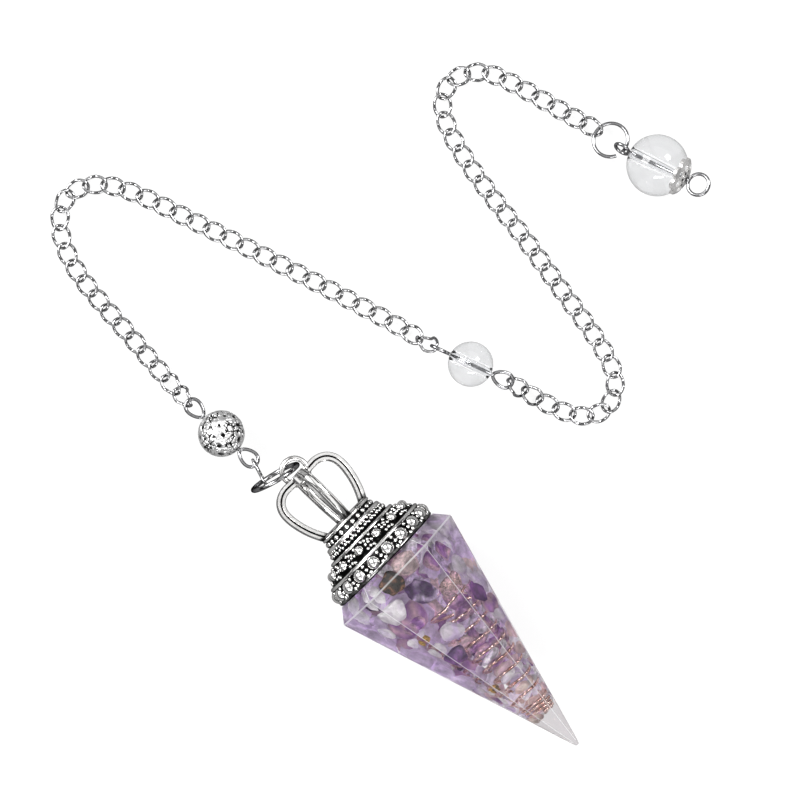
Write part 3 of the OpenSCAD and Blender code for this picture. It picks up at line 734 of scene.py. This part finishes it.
def crown_cap():
    shape, tints = Shape(), []

    def part(v, f, tint=None):
        shape.add(on_point(v), f)
        tints.append(raised(v) if tint is None else tint)

    up = vec(0, 0, CAP_BASE)
    skirt = [(CAVITY, 0), GROUND[0], (mix(SKIRT_R, SEAT, 0.6), LOW * 0.6)]
    top = [(R_TOP - 0.05, CAP_H - 0.06), (R_TOP - 0.15, CAP_H), (0.01, CAP_H)]
    inside = [(0.01, MIDDLE_RIDGE - 0.2), (S_HIGH, MIDDLE_RIDGE - 0.2), (CAVITY, PLUG_H + 0.2)]
    v, f = lathe(skirt + GROUND[1:-1] + top + inside, 180)
    part(v + up, f, np.where(v[:, 2] > CAP_H - 0.08, 0.45, 0.0))
    # ridges: radius, height, wire and brightness
    for r, z, w, tint in ((CAP_R - 0.52, 0.28, 0.28, 0.3), (SEAT - 0.02, LOW, 0.26, 1),
                          (R_MID + 0.02, MIDDLE_RIDGE, 0.25, 1), (R_HIGH - 0.05, HIGH, 0.33, 1),
                          (R_TOP + 0.07, TOP, 0.2, 1)):
        v, f = torus(r, w, 180, 14)
        v = v + up + vec(0, 0, z)
        part(v, f, raised(v) * tint)

    def grains(w, count, r, z, start, level=2):
        """A row of balls round the cap."""
        bv, bf = ball(level)
        for i in range(count):
            a = math.radians(start + 360 * i / count)
            part(bv * w / 2 + vec(r * math.cos(a), r * math.sin(a), CAP_BASE + z), bf)

    # the large balls, and the grains between them
    grains(RIM, RIM_BALLS, SEAT, 1.2, RIM_START, 4)
    for turn, r, z, w in ((-2, 0.5, 0.5, 0.62), (2.4, 0.45, 0.62, 0.58),
                          (0.4, 0.55, 1.2, 0.55), (-0.5, 0.62, 1.85, 0.5)):
        grains(w, RIM_BALLS, CAP_R - r, z, RIM_START + 180 / RIM_BALLS + turn, 2)
    # the middle balls, and the grains round them
    for w, t, u, turn, level in ((MID, 0.494, 0.53, 0, 4), (0.5, 0.265, 0.3, 180, 3),
                                 (0.45, 0.602, 0.68, 205, 3)):
        r, z = mix(SEAT, R_MID, t), mix(LOW, MIDDLE_RIDGE, u)
        grains(w, MID_BALLS, r, z, MID_START + turn / MID_BALLS, level)
    for turn, t in ((-4, 0.5), (5.5, 0.47), (0.5, 0.5), (-2.5, 0.72),
                    (3.5, 0.14), (-4.5, 0.2), (7.5, 0.78), (-7, 0.8)):
        r, z = mix(SEAT - 0.25, R_MID, t) + 0.07, mix(LOW + 0.2, MIDDLE_RIDGE, t)
        grains(0.5, MID_BALLS, r, z, MID_START + 180 / MID_BALLS + turn, 2)
    # the small rows over the middle ridge and over the high one
    grains(0.5, SMALL, mix(R_MID, R_HIGH, 0.644), mix(MIDDLE_RIDGE, HIGH, 0.5), 4, 3)
    for turn, t, w in ((11.5, 0.3, 0.46), (7, 0.72, 0.42), (0.5, 0.78, 0.42), (8.5, 0.46, 0.4)):
        grains(w, SMALL, mix(S_MID, R_HIGH, t) + 0.04, mix(MIDDLE_RIDGE + 0.3, HIGH, t), turn, 2)
    grains(0.75, SMALL, mix(S_HIGH, R_TOP, 0.757), mix(HIGH, TOP, 0.5), 10, 3)

    # arches: a strap with a groove along both sides and raised edges on its faces
    r0, r1 = R_TOP - 0.6, ARCH_W / 2 - ARCH_T / 2
    path = smooth_path([
        [r0, 0, CAP_H - 0.5], [mix(r0, r1, 0.38), 0, CAP_H + 0.7], [mix(r0, r1, 0.67), 0, CAP_H + 1.9],
        [mix(r0, r1, 0.88), 0, CAP_H + 3.2], [r1, 0, CAP_H + 4.6], [r1 - 0.08, 0, ARCH_H - 2.2],
        [r1 - 0.5, 0, ARCH_H - 1.3], [r1 - 1.2, 0, ARCH_H - 0.7], [r1 - 2.1, 0, ARCH_H - 0.4],
        [r1 - 3.1, 0, ARCH_H - 0.4], [0.95, 0, ARCH_H - 0.45]], 7)
    a, b = ARCH_T / 2, ARCH_T / 2 - 0.015
    # a quarter of its section, as up, across and tint
    side = [(0.13, a, 1), (0.06, a - 0.1, 0), (-0.06, a - 0.1, 0), (-0.13, a, 1)]
    face = [(-b + 0.12, a, 0.7), (-b, a - 0.12, 1), (-b, a - 0.2, 0.6), (-b + 0.05, a - 0.25, 0),
            (-b, 0.18, 0.7), (-b - 0.02, 0, 1)]
    half = side + face + [(y, -x, t) for y, x, t in face[-2::-1]]
    whole = half + [(-y, -x, t) for y, x, t in half]
    section, marks = [(y, x) for y, x, t in whole], np.array([t for y, x, t in whole], float)
    for i in range(4):
        v, f = tube(path, section, False, (0, 1, 0))
        x, y = spun(v[:, 0], v[:, 1], math.radians(10 + 90 * i))
        part(np.stack([x, y, v[:, 2]], 1) + up, f,
             np.tile(marks, len(path)) * np.clip((v[:, 2] - CAP_H) / 0.6, 0.2, 1))
    # the collar where the arches meet, and the eye over it
    collar = [(0.01, -0.65), (1.25, -0.65), (1.4, -0.5), (1.4, 0.45), (1.2, 0.65), (0.01, 0.65)]
    v, f = lathe(collar, 64, False)
    part(v + up + vec(0, 0, ARCH_H - 0.55), f, np.full(len(v), 0.8))
    v, f = torus(EYE_W / 2 - EYE_WIRE / 2, EYE_WIRE / 2, 72, 20)
    part(np.stack([v[:, 2], v[:, 1], EYE_Z - v[:, 0]], 1), f, np.ones(len(v)))
    tint = as_tint(np.concatenate(tints))
    piece("crown_cap_silver", shape, crown_silver, ["crown_cap"], 40, tint)


crown_cap()

# the ring through the eye

# wire of the bead loops, wire and width of a link, and free space between linked pieces
BEAD_WIRE, LINK_WIRE, LINK_W, PLAY = 0.45, 0.38, 2.5, 0.26
RING_W, RING_WIRE = 7.1, 0.6
ring_r = RING_W / 2 - RING_WIRE / 2
ring_dir, ring_side = heading(30, 0), heading(120, 0)
ring_up = vec(0, 0, 1) * math.cos(math.radians(8)) - ring_side * math.sin(math.radians(8))
reach = ring_r - RING_WIRE / 2 - EYE_WIRE / 2 - PLAY
eye_at = on_point([0, 0, EYE_Z])[0]
ring_at = (eye_at - ring_dir * (EYE_W / 2 - EYE_WIRE / 2 + 1.0) + ring_side * 0.5
           - vec(0, 0, math.sqrt(reach * reach - 1.1)))


def on_ring(a):
    return ring_at + ring_r * (math.cos(math.radians(a)) * ring_dir + math.sin(math.radians(a)) * ring_up)


v, f = tube([on_ring(i * 3) for i in range(120)], circle(RING_WIRE / 2, 18), True)
piece("crown_ring_wire", Shape().add(v, f), wire_silver, ["crown_ring"], 0)

# bead wires

LOOP_W, END_LOOP_W = 2.35, 3.2
SILVER_W, CLEAR_W, END_W, BEAD_CAP_T = 6.0, 5.8, 7.9, 0.32


def egg(length, w, k, n=56):
    """The outline of a loop from its neck on, wider at its far end by k."""
    a, b = length / 2 - BEAD_WIRE / 2, w / 2 - BEAD_WIRE / 2
    t = [2 * math.pi * i / n for i in range(n)]
    return [(a + BEAD_WIRE / 2 + a * math.cos(q), b * math.sin(q) * (1 + k * math.cos(q)), 0) for q in t]


def loop(shape, at, d, roll, length, w=LOOP_W, k=0.25):
    v, f = tube(placed(egg(length, w, k), at, d, roll), circle(BEAD_WIRE / 2, 14), True)
    shape.add(v, f)


def bead_wire(name, node, mid, d, w, out, inn, extra=0.0):
    """Makes the wire through a bead, with a loop at both ends, and returns the far ends of the loops."""
    shape = Shape()
    a = mid + d * (w / 2 + 0.08 + extra)
    b = mid - d * (w / 2 + 0.08)
    loop(shape, a, *out)
    loop(shape, b, *inn)
    ends = b - d * 0.25, a + d * 0.25
    v, f = tube([ends[0], mix(*ends, 0.5), ends[1]], circle(BEAD_WIRE / 2, 18))
    shape.add(v, f)
    piece(name, shape, wire_silver, [node], 60)
    return a + out[0] * (out[2] - BEAD_WIRE / 2), b + inn[0] * (inn[2] - BEAD_WIRE / 2)


# each loop by its direction, roll and length, with its width and egg shape if they aren't the usual ones
SILVER_MID, SILVER_DIR = vec(-22.9, -4.3, 3.0), heading(-42, 10)
SILVER_OUT, SILVER_IN = heading(-39, 12), heading(135, -6)
silver_far_out, silver_far_in = bead_wire(
    "silver_bead_rod", "silver_bead_wire", SILVER_MID, SILVER_DIR, SILVER_W,
    (SILVER_OUT, 0, 3.25), (SILVER_IN, 0, 3.25))
CLEAR_MID, CLEAR_DIR = vec(9.05, 4.6, 2.9), heading(-25.5, -4)
CLEAR_OUT, CLEAR_IN = heading(-24, -10), heading(155, -12)
clear_far_out, clear_far_in = bead_wire(
    "clear_bead_rod", "clear_bead_wire", CLEAR_MID, CLEAR_DIR, CLEAR_W,
    (CLEAR_OUT, 0, 3.2), (CLEAR_IN, 90, 2.8))
END_MID, END_DIR = vec(32.9, 30, 3.95), heading(-27.3, 20)
bead_wire(
    "end_bead_rod", "end_bead_wire", END_MID, END_DIR, END_W,
    (END_DIR, 0, END_LOOP_W, END_LOOP_W, 0), (-END_DIR, 68, 2.4, LOOP_W, 0), 0.08 + BEAD_CAP_T)

# beads

DRILL, END_DRILL = 1.1, 1.2
PITS, CRACK_CELLS, SPECKS = 54, 230, 420


def bored(w, hole, rows, steps):
    """A ball with a hole along its z axis."""
    r, h = w / 2, hole / 2
    a0 = math.asin(h / r)
    outer = [(r * math.sin(q), r * math.cos(q)) for q in np.linspace(a0, math.pi - a0, rows)]
    edge = math.cos(a0) * r
    bore = [(h, z) for z in np.linspace(-edge, edge, 9)[1:-1]]
    return lathe(outer + bore, steps)


def on_wire(v, mid, d):
    """Points with the z axis laid along a bead's wire."""
    return placed(np.stack([v[:, 2], v[:, 1], -v[:, 0]], 1), mid, d, 0)


def drilled(name, node, mid, d, w, hole):
    v, f = bored(w, hole, 60, 96)
    piece(name, Shape().add(on_wire(v, mid, d), f), glass, [node], 40)


drilled("clear_bead_glass", "clear_bead", CLEAR_MID, CLEAR_DIR, CLEAR_W, DRILL)
drilled("end_bead_glass", "end_bead", END_MID, END_DIR, END_W, END_DRILL)


def silver_bead():
    """A ball with large pits, cracks between them and small specks."""
    v, f = bored(SILVER_W, DRILL, 150, 260)
    r = SILVER_W / 2
    rad = np.linalg.norm(v, axis=1)
    outside = rad > r - 1e-6
    u = v / rad[:, None]
    rng = np.random.default_rng(5)
    waves = [(unit(rng.normal(size=3)) * rng.uniform(5, 16), rng.uniform(0, 6)) for _ in range(9)]
    rough = sum(np.sin(u @ k + q) for k, q in waves) / 9
    depth = np.zeros(len(v))
    for i in range(PITS):
        c = 0.88 * (1 - (2 * i + 1) / PITS)
        q = math.sqrt(1 - c * c)
        a = math.radians(137.5 * i)
        p = 0.36 + 0.09 * math.sin(math.radians(i * 71))
        at = vec(q * math.cos(a), q * math.sin(a), c)
        far = np.arccos(np.clip(u @ at, -1, 1)) * r * (1.25 + 1.6 * rough)
        depth = np.maximum(depth, np.clip(1 - (far / p) ** 2, 0, 1) * (0.15 + 0.08 * rough))
    cells = np.array([unit(rng.normal(size=3)) for _ in range(CRACK_CELLS)])
    far = np.sort(np.arccos(np.clip(u @ cells.T, -1, 1)), 1) * r
    crack = np.clip(1 - (far[:, 1] - far[:, 0]) / (0.15 + 0.16 * rough), 0, 1)
    depth = np.maximum(depth, crack * np.clip(0.7 + 2.5 * rough, 0, 1) * 0.17)
    for _ in range(SPECKS):
        at = unit(rng.normal(size=3))
        p = rng.uniform(0.06, 0.17)
        far = np.arccos(np.clip(u @ at, -1, 1)) * r
        depth = np.maximum(depth, np.clip(1 - (far / p) ** 2, 0, 1) * rng.uniform(0.04, 0.13))
    v = v - u * (depth * outside)[:, None]
    tint = as_tint(np.where(outside, np.clip(1 - depth / 0.12, 0, 1), 0.3))
    shape = Shape().add(on_wire(v, SILVER_MID, SILVER_DIR), f)
    piece("silver_bead_ball", shape, bead_silver, ["silver_bead"], 0, tint)


silver_bead()

# chains

# how far a link's sides rise and fall, how high the chain lies, and the spacing of its links
RISE = (LINK_WIRE + PLAY) * 0.56
CHAIN_Z = RISE + LINK_WIRE / 2
LINK_PITCH = 2.38


def link(shape, a, b, roll, twisted):
    """One link between two places; a twisted one is that of a curb chain."""
    hl = np.linalg.norm(b - a) / 2 + (LINK_WIRE + PLAY) / 2 - 0.02
    hw = LINK_W / 2 - LINK_WIRE / 2
    t = np.arange(48) * 2 * math.pi / 48
    p = np.stack([hl * np.cos(t), hw * np.sin(t), twisted * RISE * np.tanh(3 * np.sin(2 * t))], 1)
    v, f = tube(placed(p, (a + b) / 2, unit(b - a), roll), circle(LINK_WIRE / 2, 10), True)
    shape.add(v, f)


def spaced(route):
    """Places evenly spaced along a route."""
    p = smooth_path(route, 10)
    s = np.concatenate([[0], np.cumsum(np.linalg.norm(np.diff(p, axis=0), axis=1))])
    n = round(s[-1] / LINK_PITCH)
    q = np.linspace(0, s[-1], n + 1)
    j = np.stack([np.interp(q, s, p[:, i]) for i in range(3)], 1)
    j[:, 2] = np.maximum(j[:, 2], CHAIN_Z)
    return j


def hook(w):
    """How far inside a loop of wire w a chain's route begins or ends."""
    return (LINK_WIRE + w) / 4 + PLAY / 2


def chain(name, node, route, first, last):
    """Links along a route, with the rolls of the first and the last ones given."""
    shape, j = Shape(), spaced(route)
    n = len(j) - 1
    for i in range(n):
        roll = first[i] if i < len(first) else last[n - 1 - i] if n - 1 - i < len(last) else 0
        link(shape, j[i], j[i + 1], roll, 1)
    piece(name, shape, chain_silver, [node], 0)


def flat(route):
    return [[x, y, CHAIN_Z] for x, y in route]


LOWER = [[-30.6, 3.3], [-35, 8.5], [-39.6, 13.8], [-42.4, 17.8], [-43.9, 22.2], [-43, 26.4],
         [-39, 27.9], [-34, 26.6], [-27.5, 23.5], [-18, 18.8], [-9, 14.2], [0, 9.4]]
UPPER = [[18.2, -0.1], [22.5, -2], [26.3, -1.6], [27.9, 2.2], [25.9, 7], [20.3, 14.9], [16, 20.9],
         [11.8, 26.3], [7.9, 31.9], [5.5, 37], [6.2, 40.9], [10.2, 42.4], [14.4, 40.9], [20.8, 37.3]]

# the open end ring: width, wire, and size and place of its gap in degrees
END_RING_W, END_RING_WIRE, END_GAP, END_GAP_AT = 4.9, 0.45, 26, -18
end_r = END_RING_W / 2 - END_RING_WIRE / 2
END_RING_MID = vec(27.1, 33.45, 1.45)


def on_end_ring(a):
    q = math.radians(a)
    return END_RING_MID + end_r * (math.cos(q) * heading(-40, 16) + math.sin(q) * heading(50, 0))


arc = [on_end_ring(END_GAP_AT + END_GAP / 2 + (360 - END_GAP) * i / 110) for i in range(111)]
v, f = tube(arc, circle(END_RING_WIRE / 2, 16), False)
piece("end_ring_wire", Shape().add(v, f), wire_silver, ["end_ring"], 50)

bead_hook = hook(BEAD_WIRE)
end_hook = mix(on_end_ring(180), END_RING_MID, hook(END_RING_WIRE) / end_r)
lower = [silver_far_in - SILVER_IN * bead_hook, *flat(LOWER), clear_far_in - CLEAR_IN * bead_hook]
upper = [clear_far_out - CLEAR_OUT * bead_hook, *flat(UPPER), end_hook]
chain("chain_lower_links", "chain_lower", lower, [30, 15], [35])
chain("chain_upper_links", "chain_upper", upper, [20, 10], [-20, -10])

# the small link between the silver bead's loop and the ring
shape = Shape()
a = silver_far_out - SILVER_OUT * (bead_hook + 0.1)
b = on_ring(-120) + unit(on_ring(-120) - a) * (hook(RING_WIRE) + 0.07)
link(shape, a, b, 90, 0)
piece("crown_link_wire", shape, chain_silver, ["crown_link"], 0)

# the petalled bead cap keeps its own solid
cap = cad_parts["bead_cap"]
cap.data.materials.clear()
cap.data.materials.append(cap_silver)

# floor, light and world

# half the floor's width, in metres
FLOOR = 0.6
floor_mesh = bpy.data.meshes.new("floor")
corners = [(x * FLOOR, y * FLOOR, 0) for x, y in ((-1, -1), (1, -1), (1, 1), (-1, 1))]
floor_mesh.from_pydata(corners, [], [(0, 1, 2, 3)])
floor = bpy.data.objects.new("floor", floor_mesh)
m, n, l, s = material("white_table")
t = noise(n, 40, 2)
coords(n, l, t)
r = ramp(n, l, t.outputs["Fac"], [(0.3, (0.15, 0.15, 0.15)), (0.7, (0.17, 0.17, 0.17))])
l.new(r.outputs[0], s.inputs["Base Color"])
s.inputs["Roughness"].default_value = 0.9
s.inputs["Emission Color"].default_value = (1, 1, 1, 1)
s.inputs["Emission Strength"].default_value = 0.85
floor_mesh.materials.append(m)
bpy.context.scene.collection.objects.link(floor)
# mirrors don't show the floor, so that silver has the dark edges of the photograph
floor.visible_glossy = False

world = bpy.data.worlds.new("studio")
world.use_nodes = True
bpy.context.scene.world = world
wn, wl = world.node_tree.nodes, world.node_tree.links
tc = wn.new("ShaderNodeTexCoord")
sep = wn.new("ShaderNodeSeparateXYZ")
wl.new(tc.outputs["Generated"], sep.inputs[0])
SKY = [(0.0, (0.32, 0.32, 0.32)), (0.06, (0.03, 0.03, 0.032)), (0.3, (0.02, 0.02, 0.022)),
       (0.40, (0.14, 0.14, 0.145)), (0.5, (0.16, 0.16, 0.16)), (1.0, (0.10, 0.10, 0.10))]
sky_ramp = ramp(wn, wl, sep.outputs["Z"], SKY)


def along(axis):
    """How far the view runs along an axis."""
    part = wn.new("ShaderNodeVectorMath")
    part.operation = "DOT_PRODUCT"
    wl.new(tc.outputs["Generated"], part.inputs[0])
    part.inputs[1].default_value = axis
    return part.outputs["Value"]


def off_line(angle, gap):
    """1 on both sides of a dark gap that runs overhead at an angle."""
    a = math.radians(angle)
    off = maths(wn, wl, "ABSOLUTE", along((-math.sin(a), math.cos(a), 0)))
    return maths(wn, wl, "GREATER_THAN", off, gap)


# four bright panels overhead, with a dark cross between them
panels = maths(wn, wl, "GREATER_THAN", along(unit(vec(-0.18, 0.2, 1))), 0.5)
for angle in (20, 110):
    panels = maths(wn, wl, "MULTIPLY", panels, off_line(angle, 0.10))
sky = wn.new("ShaderNodeMix")
sky.data_type = "RGBA"
wl.new(panels, sky.inputs["Factor"])
wl.new(sky_ramp.outputs[0], sky.inputs[FIRST_COLOR])
sky.inputs[SECOND_COLOR].default_value = (0.95, 0.95, 0.95, 1)
wl.new(sky.outputs[MIXED_COLOR], wn["Background"].inputs["Color"])
wn["Background"].inputs["Strength"].default_value = 1.0


def softbox(name, at, size_m, power):
    """A lamp that looks at the frame's origin; places and sizes in metres."""
    data = bpy.data.lights.new(name, "AREA")
    data.shape = "RECTANGLE"
    data.size, data.size_y = size_m
    data.energy = power
    o = bpy.data.objects.new(name, data)
    o.location = at
    o.rotation_mode = "QUATERNION"
    o.rotation_quaternion = (-Vector(at)).to_track_quat("-Z", "Y")
    bpy.context.scene.collection.objects.link(o)


softbox("left", (-0.5, 0.25, 0.45), (0.3, 0.4), 4.2)
softbox("right", (0.45, 0.35, 0.55), (0.25, 0.25), 2.9)
softbox("front", (0.05, -0.55, 0.5), (0.45, 0.15), 2.1)
